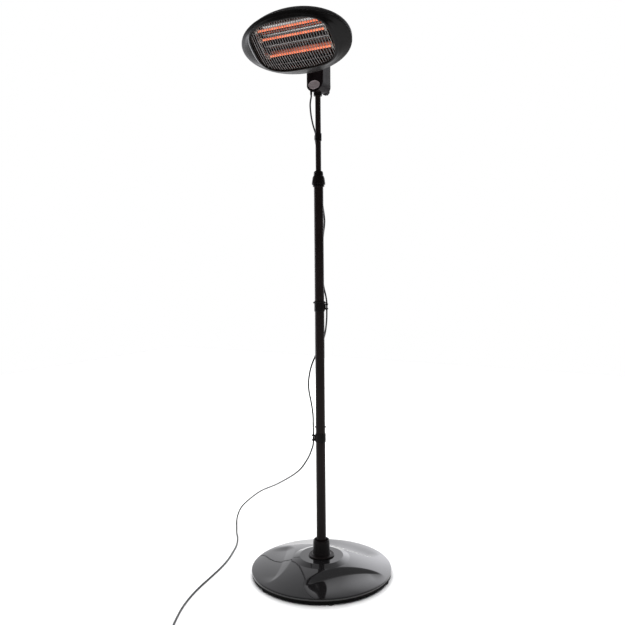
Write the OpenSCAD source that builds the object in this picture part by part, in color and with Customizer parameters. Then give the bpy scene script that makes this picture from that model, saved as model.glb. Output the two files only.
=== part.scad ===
// Free-standing quartz patio heater: weighted round base, sectional pole with a telescopic mast,
// clamp-on switch housing and an oval three-tube heater head that tilts and swivels.
// Millimetres, +Z up, the head faces -Y, the origin is under the middle of the base on the ground.

/* [Base] */
// Radius of the round base
base_r = 250; // [220:1:280]
// Height of the rubber feet
foot_h = 5; // [4:0.5:8]
// Radius of the raised plateau in the middle of the base
plateau_r = 99; // [85:1:110]
// Height of the plateau above the ground
plateau_z = 62; // [58:1:70]
// Wall of the base cover
cover_wall = 2.5; // [2:0.5:3]
// Height of the pole socket's rim above the ground
socket_top = 119; // [110:1:130]

/* [Pole] */
// Outer radius of the three pole sections
pole_r = 17; // [16:0.5:19]
// Wall of the pole sections
pole_wall = 1.5; // [1.2:0.1:2]
// Height of the lower pole joint
joint_low_z = 483; // [460:1:500]
// Height of the upper pole joint
joint_high_z = 955; // [930:1:970]
// Top of the upper pole section
pole_top_z = 1400; // [1380:1:1410]
// Outer radius of the telescopic mast
mast_r = 10; // [9:0.5:11]
// Top of the mast at rest
mast_top_z = 1786; // [1780:1:1788]

/* [Housing] */
// Width of the switch housing
housing_w = 66; // [62:1:70]
// Distance from the pole axis to the housing's front face
housing_front_y = 27; // [26:1:30]
// Distance from the pole axis to the housing's rear face
housing_rear_y = 41; // [40:1:46]
// Lowest point of the housing
housing_z = 1722; // [1720:1:1726]
// Wall of the housing
housing_wall = 2.2; // [2:0.1:2.5]
// Height of the tilt pivot
pivot_z = 1850; // [1846:1:1854]
// Distance of the tilt pivot behind the pole axis
pivot_y = 12; // [10:1:14]

/* [Head] */
// Half of the head's width
head_a = 212; // [204:1:220]
// Half of the head's height
head_b = 121; // [118:1:124]
// How far the head's outline sits below the middle of the opening
head_drop = 6; // [4:0.5:7]
// Half of the opening's width
open_a = 152; // [146:1:156]
// Half of the opening's height
open_b = 93; // [90:1:96]
// Squareness of the opening's outline, where 2 is an ellipse
open_e = 3.1; // [2.6:0.1:3.4]
// How far the opening's rim stands in front of the head's edge
rim_rise = 24; // [20:1:28]
// Depth of the rear shell behind the head's edge
shell_depth = 62; // [58:1:66]
// Angle of the heated face below level, at rest
face_down = 48; // [44:1:50]
// Distance of the head's middle in front of the pole axis
head_fwd = 161; // [156:1:166]
// Height of the head's middle
head_z = 1864; // [1860:1:1868]
// Pitch of the grille wires
wire_pitch = 9.8; // [8:0.2:11]
// Radius of the grille wires
wire_r = 1.2; // [0.9:0.1:1.4]
// How far the middle of the grille bulges out from its edge
grille_crown = 15; // [8:1:18]

/* [Cord] */
// Radius of the mains cord
cord_r = 3; // [2.75:0.05:3.2]
// Turn of the cord's clips and lay about the pole, from the head's forward line
lay_turn = 29; // [20:1:40]

/* [Hidden] */
$fn = 64;

gap = 0.3;                       // free gap between faces that move past each other
seat = 0.05;                     // gap between round faces that are fixed together
pole_in = pole_r - pole_wall;
rings_n = 64;                    // points round each lofted ring
ring_step = 360 / rings_n;
foot_r = 12;
foot_at = base_r - foot_r;       // radius of the circle of feet
foot_turn = 6;                   // first foot, counted from +X
bolt_r = 5;
spigot_r = pole_in - gap;
coupling_wall = 2.2;
coupling_r = pole_r + seat + coupling_wall;
clip_at = 26;                    // cord centre at the pole clips, from the pole axis
clip_r = 5.2;
clamp_r = 18.2;                  // seat of the twist ring on the telescopic clamp
clip_x = -9;                     // cord centre at the mast clip, in the cord's turned frame
clip_y = 13;
screw_low_z = 522;
screw_high_z = 969;
half_w = housing_w / 2;
socket_r = 15.5;
cheek_x = half_w + 1.5;          // inner face of the yoke's cheeks
cheek_out = cheek_x + 3;
lock_z = 1740;
lock_y = housing_rear_y + 11.5;  // inner face of the lock knob's grip
switch_z = 1806;
knob_bore = 3.08;                // bore of both knobs, for their 3 mm radius shafts
head_turn = 90 + face_down;      // turns the head's own frame (front = +Z) to where it faces
tube_y = [56, 22, -44];          // heights of the tubes in the head's own frame
tube_z = -8;                     // depth of the tubes in the head's own frame
tube_r = 6.5;
tube_half = 130;
grille_z = rim_rise - 4.9;       // height of the grille wires' ends in the head's own frame
bar_y = 62;                      // the grille's cross bars lie this far from its middle
tray_z = -46;                    // back of the inner tray in the head's own frame

// The pivot in the head's own frame
pivot_rel = [pivot_y + head_fwd, pivot_z - head_z];
pivot_v = -sin(face_down) * pivot_rel[0] + cos(face_down) * pivot_rel[1];
pivot_w = -cos(face_down) * pivot_rel[0] - sin(face_down) * pivot_rel[1];

// Route of the cord in a frame turned by lay_turn about the pole: from the housing's strain
// relief to the clip on the mast, and from there down the pole and along the ground to the plug.
upper_route = [
  [-24, 2, 1715.5], [-24, 2, 1709], [-27.5, 1, 1688], [-27.5, 2, 1668], [-24.5, 4, 1640],
  [-19, 8, 1612], [-12.5, 12, 1590], [-9, 13, 1577], [-9, 13, 1564.5]
];
lower_route = [
  [-9, 13, 1563.5], [-9, 13, 1550], [-4, 20, 1518], [1, 28, 1474], [5, 31, 1418], [9, 29, 1365],
  [15, 22, 1315], [20, 13, 1275], [20, 13, 1250], [15, 19, 1210], [10, 23, 1150], [10, 23, 1085],
  [15, 20, 1030], [23, 8, 992], [26, 0, 968], [26, 0, 942], [25, 6, 905], [20, 16, 862],
  [9, 26, 822], [-6, 28, 792], [-20, 21, 766], [-31, 12, 740], [-38, 6, 712], [-42, 4, 680],
  [-40, 3, 648], [-33, 1, 612], [-27, 0, 570], [-26, 0, 530], [-26, 0, 470], [-31, 6, 443],
  [-50, 32, 395], [-88, 92, 333], [-172, 290, 228], [-254, 440, 150], [-314, 512, 88],
  [-345, 532, 53], [-359, 518, 29], [-362, 478, 12], [-356, 425, 4], [-348, 362, 3.2],
  [-338, 310, 3.2], [-334, 240, 3.2], [-340, 175, 3.2], [-349, 110, 3.2], [-366, 40, 3.2],
  [-394, -45, 3.2], [-426, -140, 3.2], [-448, -240, 3.2], [-456, -340, 3.2], [-455, -420, 3.2],
  [-453, -448, 6.5], [-452, -470, 13], [-452, -488, 18.6], [-452, -500, 18.6]
];
plug_start = lower_route[len(lower_route) - 1];
plug_r = 18.6;

// ---------------------------------------------------------------- helpers

// Ring of points on a superellipse with half axes a and b at height z
function oval(a, b, e, z) = [
  for (i = [0 : rings_n - 1])
    let (c = cos(i * ring_step), s = sin(i * ring_step))
    [a * sign(c) * pow(abs(c), 2 / e), b * sign(s) * pow(abs(s), 2 / e), z]
];

// The same ring moved down the face by drop
function low_oval(a, b, e, z, drop) = [for (p = oval(a, b, e, z)) p - [0, drop, 0]];

// The same superellipse as a flat outline
module oval_face(a, b, e) { polygon([for (p = oval(a, b, e, 0)) [p[0], p[1]]]); }

// Solid through a chain of rings, closed by flat ends, or joined last to first when looped
module ring_chain(rings, looped = false) {
  n = len(rings[0]);
  m = len(rings);
  walls = [
    for (k = [0 : looped ? m - 1 : m - 2], i = [0 : n - 1], half = [0, 1])
      let (a = k * n, b = ((k + 1) % m) * n, j = (i + 1) % n)
      half == 0 ? [a + i, b + i, b + j] : [a + i, b + j, a + j]
  ];
  ends = looped ? [] : [[for (i = [0 : n - 1]) i], [for (i = [n - 1 : -1 : 0]) (m - 1) * n + i]];
  polyhedron(points = [for (r = rings) each r], faces = concat(walls, ends), convexity = 6);
}

// Smooth curve through the route's points (Catmull-Rom), with the given steps per stretch
function at(p, i) = p[max(0, min(len(p) - 1, i))];
function smooth(p, steps) = [
  for (i = [0 : len(p) - 2], k = [0 : steps - 1])
    let (t = k / steps, a = at(p, i - 1), b = p[i], c = p[i + 1], d = at(p, i + 2))
    0.5 * (2 * b + (c - a) * t + (2 * a - 5 * b + 4 * c - d) * t * t
      + (3 * b - a - 3 * c + d) * t * t * t),
  p[len(p) - 1]
];
function unit(v) = v / norm(v);
function ahead(p, i) = unit(at(p, i + 1) - at(p, i - 1));

// Sideways direction at each point of a path, carried along from the point before it
function sideways(p, i, prev) =
  let (t = ahead(p, i), s = unit(prev - (prev * t) * t))
  i == len(p) - 1 ? [s] : concat([s], sideways(p, i + 1, s));

module tube_along(path, r, sides = 10) {
  side = sideways(path, 0, [1, 0, 0]);
  ring_chain([
    for (i = [0 : len(path) - 1])
      let (t = ahead(path, i), s = side[i], u = cross(t, s))
      [for (k = [0 : sides - 1]) path[i] + r * (cos(-k * 360 / sides) * s + sin(-k * 360 / sides) * u)]
  ]);
}

module hex_prism(r, h) { cylinder(r = r, h = h, $fn = 6); }

module pipe(r_out, r_in, z0, z1) {
  translate([0, 0, z0]) difference() {
    cylinder(r = r_out, h = z1 - z0);
    translate([0, 0, -1]) cylinder(r = r_in, h = z1 - z0 + 2);
  }
}

// Places its children in the head's own frame: X along the tubes, Y up the face, Z out of it
module on_head() { translate([0, -head_fwd, head_z]) rotate([head_turn, 0, 0]) children(); }

// Cylinder along X between two x positions, centred at y and z
module rod_x(r, x0, x1, y = 0, z = 0) {
  translate([x0, y, z]) rotate([0, 90, 0]) cylinder(r = r, h = x1 - x0);
}

// Cylinder along +Y between two y positions
module rod_y(r, y0, y1, x = 0, z = 0) {
  translate([x, y0, z]) rotate([-90, 0, 0]) cylinder(r = r, h = y1 - y0);
}

// Places its children at each foot
module at_feet() {
  for (i = [0 : 5]) rotate([0, 0, foot_turn + 60 * i]) translate([foot_at, 0, 0]) children();
}

// Directions of the two screws at each pole joint
module at_sides() { for (turn = [0, 180]) rotate([0, 0, lay_turn + turn]) children(); }

// ---------------------------------------------------------------- base

edge_arc_r = 11;
dome_start = [plateau_r + 2, plateau_z - 7.5];
dome_end = [base_r - edge_arc_r + 2.8, foot_h + 18.6];

// Outline of the base cover's top surface, moved inwards by d
function cover_line(d) = concat(
  [[bolt_r + gap, plateau_z - d], [plateau_r - 21, plateau_z - d], [plateau_r - 19, plateau_z - 0.5 - d],
    [plateau_r - 1, plateau_z - 6.5 - d]],
  [for (t = [0 : 0.125 : 1])
    [dome_start[0] + (dome_end[0] - dome_start[0]) * t - d * 0.2,
      dome_start[1] - (dome_start[1] - dome_end[1]) * (0.82 * t + 0.18 * t * t) - d]],
  [for (a = [60 : -15 : 0])
    [base_r - edge_arc_r + (edge_arc_r - d) * cos(a), foot_h + 8 + (edge_arc_r - d) * sin(a)]],
  [[base_r - d, foot_h]]
);

module base_cover() {
  outer = cover_line(0);
  inner = cover_line(cover_wall);
  color([0.03, 0.03, 0.035]) rotate_extrude($fn = 96)
    polygon(concat(outer, [for (i = [len(inner) - 1 : -1 : 0]) inner[i]]));
}

module base_plate() {
  color([0.05, 0.05, 0.05]) difference() {
    translate([0, 0, foot_h]) cylinder(r = base_r - cover_wall - 0.5, h = 2);
    translate([0, 0, foot_h - 1]) cylinder(r = bolt_r + gap, h = 4);
    at_feet() translate([0, 0, foot_h - 1]) cylinder(r = 3.1, h = 4);
  }
}

module base_weight() {
  color([0.35, 0.35, 0.35]) pipe(200, 30, foot_h + 2, foot_h + 8);
}

module base_spacer() {
  color([0.6, 0.6, 0.6]) pipe(12, bolt_r + gap, foot_h + 2, plateau_z - cover_wall);
}

module base_feet() {
  color([0.06, 0.06, 0.06]) at_feet() {
    cylinder(r1 = foot_r - 1, r2 = foot_r, h = foot_h);
    translate([0, 0, foot_h]) cylinder(r = 3, h = 3.5);
  }
}

module base_bolt() {
  color([0.7, 0.7, 0.7]) {
    translate([0, 0, 1.2]) hex_prism(9, foot_h - 1.2);
    translate([0, 0, foot_h]) cylinder(r = bolt_r, h = plateau_z + 16 - foot_h);
  }
}

module base_nut() {
  color([0.7, 0.7, 0.7]) difference() {
    translate([0, 0, plateau_z + 4]) hex_prism(9, 8);
    translate([0, 0, plateau_z + 3]) cylinder(r = bolt_r + seat, h = 10);
  }
}

module base_spigot() {
  color([0.5, 0.5, 0.52]) difference() {
    union() {
      translate([0, 0, plateau_z]) cylinder(r = pole_r - 0.4, h = 4);
      pipe(spigot_r, 12.5, plateau_z + 4, socket_top - 4);
    }
    translate([0, 0, plateau_z - 1]) cylinder(r = bolt_r + gap, h = 6);
  }
}

module pole_socket() {
  bore = pole_r + gap;
  color([0.04, 0.04, 0.045]) rotate_extrude($fn = 96) polygon([
    [bore, plateau_z], [46.5, plateau_z], [46.5, plateau_z + 3.5], [44.5, plateau_z + 5.5],
    [33, plateau_z + 6.5], [30.5, plateau_z + 9], [29.5, socket_top - 5], [27.5, socket_top - 1],
    [25.5, socket_top], [23.5, socket_top - 0.8], [19, socket_top - 6], [bore, socket_top - 7]
  ]);
}

// ---------------------------------------------------------------- pole

module joint_screw_bores(z, r) {
  at_sides() rod_x(r, 8, 24, 0, z);
}

module pole_lower() {
  color([0.04, 0.04, 0.045]) pipe(pole_r, pole_in, plateau_z + 4.3, joint_low_z);
}

module pole_middle() {
  color([0.04, 0.04, 0.045]) difference() {
    pipe(pole_r, pole_in, joint_low_z + 0.2, joint_high_z);
    joint_screw_bores(screw_low_z, 2.1);
  }
}

module pole_upper() {
  color([0.04, 0.04, 0.045]) difference() {
    pipe(pole_r, pole_in, joint_high_z + 0.2, pole_top_z);
    joint_screw_bores(screw_high_z, 2.1);
  }
}

module joint_spigots() {
  color([0.5, 0.5, 0.52]) difference() {
    for (z = [joint_low_z, joint_high_z]) pipe(pole_in - seat, pole_in - 2.3, z - 50, z + 50);
    joint_screw_bores(screw_low_z, 2.1);
    joint_screw_bores(screw_high_z, 2.1);
  }
}

module coupling(z0, z1) {
  translate([0, 0, z0]) rotate_extrude() polygon([
    [pole_r + seat, 0], [coupling_r - 1, 0], [coupling_r, 1.5], [coupling_r, z1 - z0 - 1.5],
    [coupling_r - 1, z1 - z0], [pole_r + seat, z1 - z0]
  ]);
}

module coupling_lower() {
  color([0.03, 0.03, 0.03]) coupling(468, 499);
}

module coupling_upper() {
  color([0.03, 0.03, 0.03]) difference() {
    coupling(937, 975);
    joint_screw_bores(screw_high_z, 2.1);
  }
}

module joint_screw(z, surface_r) {
  rod_x(2, pole_in - 3.5, surface_r + 0.1, 0, z);
  translate([surface_r + 0.1, 0, z]) rotate([0, 90, 0]) cylinder(r1 = 4, r2 = 1.6, h = 3.4);
}

module joint_screws() {
  color([0.03, 0.03, 0.03]) at_sides() {
    joint_screw(screw_low_z, pole_r);
    joint_screw(screw_high_z, coupling_r);
  }
}

// Two open rings on a foot plate that hold the cord beside a coupling
module pole_clip(z, turn) {
  rotate([0, 0, lay_turn + turn]) translate([0, 0, z]) difference() {
    union() {
      translate([coupling_r - 0.5, -4.5, -12]) cube([clip_at - coupling_r - 3, 9, 21]);
      for (dz = [-10.5, 5.5]) translate([clip_at, 0, dz]) cylinder(r = clip_r, h = 5, $fn = 32);
    }
    translate([0, 0, -20]) cylinder(r = coupling_r + seat, h = 40);
    translate([clip_at, 0, -20]) cylinder(r = cord_r + gap, h = 40, $fn = 32);
  }
}

module cord_clip_lower() { color([0.05, 0.05, 0.05]) pole_clip(484, 180); }

module cord_clip_upper() { color([0.05, 0.05, 0.05]) pole_clip(955, 0); }

// ---------------------------------------------------------------- telescopic clamp and mast

module clamp_body() {
  z0 = pole_top_z - 15;
  color([0.03, 0.03, 0.03]) rotate_extrude() polygon([
    [pole_r + seat, z0], [21, z0], [21, z0 + 7], [clamp_r, z0 + 7], [clamp_r, z0 + 36.8], [19.6, z0 + 36.8],
    [19.6, z0 + 38.5], [17.8, z0 + 39.5], [16.6, z0 + 53.5], [13, z0 + 57], [mast_r + gap, z0 + 57],
    [mast_r + gap, z0 + 15.2], [pole_r + seat, z0 + 15.2]
  ]);
}

module clamp_ring() {
  z0 = pole_top_z - 7;
  color([0.05, 0.05, 0.05]) rotate_extrude($fn = 96) polygon([
    [clamp_r + 0.4, z0], [24.5, z0], [24.5, z0 + 3], [21.2, z0 + 28], [clamp_r + 0.4, z0 + 28]
  ]);
}

module guide_bush() {
  color([0.85, 0.85, 0.82]) pipe(pole_in - seat, mast_r + gap, pole_top_z - 40, pole_top_z);
}

module mast_tube() {
  color([0.04, 0.04, 0.045]) pipe(mast_r, mast_r - 1.2, 1150, mast_top_z);
}

module mast_guide() {
  color([0.85, 0.85, 0.82]) union() {
    difference() {
      translate([0, 0, 1140]) cylinder(r = pole_in - 0.4, h = 25);
      translate([0, 0, 1150]) cylinder(r = mast_r + seat, h = 20);
    }
    translate([0, 0, 1149]) cylinder(r = mast_r - 1.2 - seat, h = 12);
  }
}

module mast_clip() {
  color([0.06, 0.06, 0.06]) rotate([0, 0, lay_turn]) difference() {
    union() {
      translate([0, 0, 1551]) cylinder(r = mast_r + 2.5, h = 26);
      translate([clip_x, clip_y, 1556]) cylinder(r = clip_r, h = 16, $fn = 32);
    }
    translate([0, 0, 1550]) cylinder(r = mast_r + seat, h = 28);
    translate([clip_x, clip_y, 1540]) cylinder(r = cord_r + gap, h = 60, $fn = 32);
  }
}

// ---------------------------------------------------------------- switch housing

// The housing's front outline: straight sides on a round bottom, drawn in X and Z
module housing_face(d) {
  hull() {
    translate([0, housing_z + half_w]) circle(r = half_w - d, $fn = 64);
    translate([-half_w + d, pivot_z]) square([housing_w - 2 * d, 30]);
  }
}

// The housing's side outline, drawn in Y and Z
module housing_side(d) {
  boss = 24 - d;
  rear_lift = 7;                 // the underside climbs this much towards the rear
  front = -housing_front_y + d;
  rear = housing_rear_y - d;
  polygon(concat(
    [[front, housing_z + d], [0, housing_z + d], [rear, housing_z + rear_lift + d], [rear, pivot_z - 12]],
    [for (a = [20 : 20 : 160]) [pivot_y + boss * cos(a), pivot_z + boss * sin(a)]],
    [[front, pivot_z - 22]]
  ));
}

// The housing's plan outline with its rounded upright edges
module housing_plan(d) {
  r = 7;
  for (sx = [-1, 1], y = [-housing_front_y + r, housing_rear_y - r])
    translate([sx * (half_w - r), y]) circle(r = r - d, $fn = 32);
  depth = housing_front_y + housing_rear_y;
  translate([-half_w + d, -housing_front_y + r]) square([housing_w - 2 * d, depth - 2 * r]);
  translate([-half_w + r, -housing_front_y + d]) square([housing_w - 2 * r, depth - 2 * d]);
}

module housing_solid(d) {
  intersection() {
    translate([0, 80, 0]) rotate([90, 0, 0]) linear_extrude(160) intersection() {
      housing_face(d);
      translate([-60, housing_z - 5]) square([120, 170]);
    }
    translate([-half_w, 0, 0]) rotate([90, 0, 90]) linear_extrude(housing_w) housing_side(d);
    translate([0, 0, housing_z - 5]) linear_extrude(170) housing_plan(d);
  }
}

split_y = 4;

module housing_shell() {
  difference() {
    housing_solid(0);
    housing_solid(housing_wall);
    translate([0, 0, housing_z - 2]) cylinder(r = socket_r + gap, h = 40);
    rod_x(4 + gap, -50, 50, pivot_y, pivot_z);
    rod_y(3 + gap, 30, 60, 0, lock_z);
    rod_y(4, 30, 60, 0, switch_z);
    rotate([0, 0, lay_turn]) translate([upper_route[0][0], upper_route[0][1], housing_z - 5])
      cylinder(r = 4.9, h = 32, $fn = 32);
  }
}

module housing_front() {
  color([0.04, 0.04, 0.045]) intersection() {
    housing_shell();
    translate([-50, -60, housing_z - 5]) cube([100, 60 + split_y, 200]);
  }
}

module housing_rear() {
  color([0.05, 0.05, 0.055]) difference() {
    intersection() {
      housing_shell();
      translate([-50, split_y + 0.4, housing_z - 5]) cube([100, 80, 200]);
    }
    for (x = [-20, 20], z = [1772, 1830]) rod_y(2.1, 30, 60, x, z);
  }
}

module housing_screws() {
  color([0.6, 0.6, 0.6]) for (x = [-20, 20], z = [1772, 1830]) {
    rod_y(1.9, 10, housing_rear_y, x, z);
    rod_y(3.6, housing_rear_y, housing_rear_y + 2, x, z);
  }
}

module badge() {
  color([0.75, 0.75, 0.77]) translate([0, -housing_front_y, 1747]) rotate([90, 0, 0])
    linear_extrude(1.6) scale([1.48, 1]) circle(r = 15.5, $fn = 72);
}

module housing_socket() {
  color([0.05, 0.05, 0.05]) difference() {
    union() {
      pipe(socket_r, mast_r + gap, 1712, 1790);
      translate([-18, -22, 1756]) cube([36, 56, 3]);
    }
    translate([0, 0, 1700]) cylinder(r = mast_r + gap, h = 100);
    rod_y(3 + gap, 0, 20, 0, lock_z);
  }
}

module strain_relief() {
  top = 1742;
  bottom = 1716;
  color([0.04, 0.04, 0.04]) rotate([0, 0, lay_turn])
    translate([upper_route[0][0], upper_route[0][1], bottom])
      cylinder(r1 = 3.5, r2 = 4.6, h = top - bottom, $fn = 32);
}

module housing_lead() {
  color([0.04, 0.04, 0.04]) rotate([0, 0, lay_turn])
    translate([upper_route[0][0], upper_route[0][1], 1742]) cylinder(r = cord_r - 0.2, h = 58, $fn = 24);
}

module terminal_block() {
  color([0.9, 0.88, 0.8]) translate([-15, -24, 1800.2]) difference() {
    cube([30, 14, 14]);
    for (i = [0 : 2]) translate([6 + 9 * i, 7, 6]) cylinder(r = 2.4, h = 10, $fn = 24);
  }
}

module tip_switch() {
  color([0.2, 0.2, 0.22]) translate([-7, -24.4, 1768]) cube([14, 7, 22]);
}

module switch_body() {
  color([0.12, 0.12, 0.12]) union() {
    translate([-13, housing_rear_y - 27, switch_z - 12]) cube([26, 24, 24]);
    rod_y(3, housing_rear_y - 3, housing_rear_y + 5, 0, switch_z);
  }
}

module switch_knob() {
  y0 = housing_rear_y + 1;
  color([0.04, 0.04, 0.04]) difference() {
    union() {
      rod_y(14, y0, y0 + 4, 0, switch_z);
      rod_y(11, y0 + 4, y0 + 13, 0, switch_z);
      translate([-2.5, y0 + 4, switch_z - 13]) cube([5, 11, 26]);
    }
    rod_y(knob_bore, y0 - 1, y0 + 4.3, 0, switch_z);
  }
}

module lock_stem() {
  color([0.7, 0.7, 0.7]) rod_y(3, mast_r + 0.35, lock_y - 1, 0, lock_z);
}

module lock_knob() {
  color([0.03, 0.03, 0.03]) difference() {
    union() {
      rod_y(7, lock_y - 6, lock_y, 0, lock_z);
      rod_y(14, lock_y, lock_y + 13, 0, lock_z);
    }
    rod_y(knob_bore, lock_y - 8, lock_y - 0.7, 0, lock_z);
    for (a = [0 : 45 : 315]) translate([15.8 * cos(a), 0, lock_z + 15.8 * sin(a)])
      rod_y(3, lock_y - 1, lock_y + 14);
  }
}

module pivot_bolt() {
  color([0.7, 0.7, 0.7]) {
    rod_x(4, -cheek_out - 0.5, cheek_out + 5.5, pivot_y, pivot_z);
    translate([-cheek_out - 5, pivot_y, pivot_z]) rotate([0, 90, 0]) hex_prism(8, 4.5);
  }
}

module pivot_nut() {
  color([0.7, 0.7, 0.7]) difference() {
    translate([cheek_out + 0.5, pivot_y, pivot_z]) rotate([0, 90, 0]) hex_prism(8, 6);
    rod_x(4 + seat, cheek_out - 1, cheek_out + 8, pivot_y, pivot_z);
  }
}

module pivot_spacer() {
  color([0.6, 0.6, 0.6]) difference() {
    rod_x(7, -half_w + housing_wall, half_w - housing_wall, pivot_y, pivot_z);
    rod_x(4 + seat, -50, 50, pivot_y, pivot_z);
  }
}

module tilt_washers() {
  color([0.1, 0.1, 0.1]) difference() {
    for (x0 = [-half_w - 1.2, half_w]) rod_x(12, x0, x0 + 1.2, pivot_y, pivot_z);
    rod_x(4 + gap, -50, 50, pivot_y, pivot_z);
  }
}

// ---------------------------------------------------------------- head

yoke_top = [-14, -64];           // where the yoke's cheeks meet the shell, furthest from the pivot

module tilt_yoke() {
  color([0.05, 0.05, 0.05]) on_head() difference() {
    union() {
      for (x0 = [-cheek_x - 3, cheek_x]) translate([x0, 0, 0]) rotate([90, 0, 90]) linear_extrude(3) {
        translate([pivot_v, pivot_w]) circle(r = 13);
        polygon([[pivot_v - 9, pivot_w + 9.5], [pivot_v + 6, pivot_w - 11.5], [yoke_top[0] - 12, -70],
          [yoke_top[0], -shell_depth - 0.3], [-76, -shell_depth - 0.3]]);
      }
      translate([-cheek_x, -76, -shell_depth - 3.3]) cube([2 * cheek_x, 62, 3]);
    }
    rod_x(4 + gap, -60, 60, pivot_v, pivot_w);
    for (x = [-18, 18], y = [-62, -28]) translate([x, y, -80]) cylinder(r = 2.2, h = 30, $fn = 24);
  }
}

module yoke_screws() {
  color([0.6, 0.6, 0.6]) on_head() for (x = [-18, 18], y = [-62, -28]) {
    translate([x, y, -shell_depth - 3.4]) cylinder(r = 2, h = 10, $fn = 24);
    translate([x, y, -shell_depth - 5.4]) cylinder(r = 4, h = 2, $fn = 24);
  }
}

// The rear shell: a bowl that runs in from the head's edge to a flat back
module head_shell() {
  t = 2;
  steps = [0, 0.2, 0.4, 0.6, 0.8, 1];
  flat_a = 128;
  flat_b = 80;
  edge_a = head_a - 3;
  edge_b = head_b - 3;
  function ring(k, inset) = low_oval(
    flat_a - inset + (edge_a - flat_a) * cos(90 * k), flat_b - inset + (edge_b - flat_b) * cos(90 * k),
    2, -2 - (shell_depth - 2 - inset) * sin(90 * k), head_drop);
  outer = [for (i = [len(steps) - 1 : -1 : 0]) ring(steps[i], 0)];
  inner = [for (k = steps) ring(k, t)];
  color([0.04, 0.04, 0.045]) on_head() difference() {
    ring_chain(concat(outer, inner));
    for (x = [-18, 18], y = [-62, -28])
      translate([x, y, -shell_depth - 1]) cylinder(r = 2.2, h = 8, $fn = 24);
  }
}

// The bezel: a convex oval surround with a raised rim and a wall that turns in to the opening
module bezel() {
  color([0.04, 0.04, 0.045]) on_head() ring_chain([
    low_oval(head_a - 2, head_b - 2, 2, -1.9, head_drop),
    low_oval(head_a, head_b, 2, 0, head_drop),
    low_oval(head_a - 1, head_b - 1, 2, 2.5, head_drop),
    low_oval(head_a - 20, head_b - 10, 2.15, 11, head_drop - 1),
    low_oval(head_a - 40, head_b - 17.5, 2.5, 19, 1.5),
    oval(open_a + 7, open_b + 6, open_e, rim_rise),
    oval(open_a + 2, open_b + 2, open_e, rim_rise),
    oval(open_a, open_b, open_e, rim_rise - 2),
    oval(open_a, open_b, open_e, rim_rise - 9),
    oval(open_a + 2, open_b + 2, open_e, rim_rise - 9),
    oval(open_a + 5, open_b + 4.5, open_e, rim_rise - 4),
    low_oval(head_a - 42, head_b - 20, 2.5, 16.5, 1.5),
    low_oval(head_a - 22, head_b - 12.5, 2.15, 8.5, head_drop - 1),
    low_oval(head_a - 4.5, head_b - 4.5, 2, 0, head_drop)
  ], looped = true);
}

// The black tray that closes the opening's back and carries everything hot
module inner_tray() {
  t = 1.2;
  color([0.05, 0.045, 0.04]) on_head() ring_chain([
    oval(open_a - 12, open_b - 13, 4, tray_z),
    oval(open_a - 5, open_b - 7, 4, tray_z + 6),
    oval(open_a + 5, open_b, 3.3, rim_rise - 15),
    oval(open_a + 9, open_b + 3, 3, rim_rise - 14),
    oval(open_a + 9, open_b + 3, 3, rim_rise - 14 + t),
    oval(open_a + 5 - t, open_b - t, 3.3, rim_rise - 14 + t),
    oval(open_a - 5 - t, open_b - 7 - t, 4, tray_z + 6 + t),
    oval(open_a - 12 - t, open_b - 13 - t, 4, tray_z + t)
  ]);
}

// Side outline of the reflector, a valley behind each tube with ridges between them
reflect_line = [
  [80, 6], [74, -18], [64, -27], [50, -27], [40, -19], [29, -27], [16, -27], [2, -20], [-12, -13],
  [-28, -22], [-38, -27], [-50, -27], [-60, -20], [-66, -8]
];

module reflector() {
  t = 0.8;
  n = len(reflect_line);
  color([0.85, 0.85, 0.83]) on_head() intersection() {
    translate([-125, 0, 0]) rotate([90, 0, 90]) linear_extrude(250)
      polygon(concat(reflect_line, [for (i = [n - 1 : -1 : 0]) reflect_line[i] - [0, t]]));
    translate([0, 0, -40]) linear_extrude(60) oval_face(134, 84, 4);
  }
}

module tube_brackets() {
  x = 133;
  color([0.55, 0.55, 0.52]) on_head() difference() {
    for (sx = [-1, 1]) translate([sx * x - 0.6, 0, 0]) {
      translate([0, -58, -18]) cube([1.2, 124, 20]);
      translate([0, -30, tray_z + 1.3]) cube([1.2, 60, -18 - tray_z]);
    }
    for (y = tube_y) rod_x(tube_r + seat, -140, 140, y, tube_z);
  }
}

module quartz_tubes() {
  color([1, 0.45, 0.25]) on_head() for (y = tube_y) difference() {
    rod_x(tube_r, -tube_half - 6, tube_half + 6, y, tube_z);
    rod_x(tube_r - 1.2, -tube_half - 7, tube_half + 7, y, tube_z);
  }
}

module heating_coils() {
  color([1, 0.3, 0.1]) on_head() for (y = tube_y) rod_x(3.4, -tube_half, tube_half, y, tube_z);
}

// Ceramic caps that slip over the tubes' ends
module tube_caps() {
  color([0.9, 0.88, 0.82]) on_head() for (y = tube_y, sx = [-1, 1])
    translate([sx * (tube_half - 2.5), y, tube_z]) rotate([0, 90, 0]) difference() {
      cylinder(r = 8.6, h = 4.6, center = true, $fn = 48);
      cylinder(r = tube_r + seat, h = 20, center = true, $fn = 48);
    }
}

// Half the height of the grille at a distance x from its middle
function grille_half(x) = (open_b - 1.5) * pow(1 - pow(abs(x) / (open_a - 1.5), open_e), 1 / open_e);

module grille_frame() {
  color([0.05, 0.05, 0.05]) on_head() translate([0, 0, rim_rise - 8.4]) linear_extrude(2.2) difference() {
    oval_face(open_a - 0.4, open_b - 0.4, open_e);
    oval_face(open_a - 4, open_b - 4, open_e);
  }
}

// Round wire bent to an arc over -half to half along Y, its ends at height 0 and its middle at rise
module bowed_wire(half, rise) {
  bend = (half * half + rise * rise) / (2 * rise);
  spread = 2 * asin(half / bend);
  translate([0, 0, rise - bend]) rotate([0, -90, 0]) rotate([0, 0, -spread / 2])
    rotate_extrude(angle = spread, $fn = 2880 / spread) translate([bend, 0]) circle(r = wire_r, $fn = 14);
}

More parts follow.
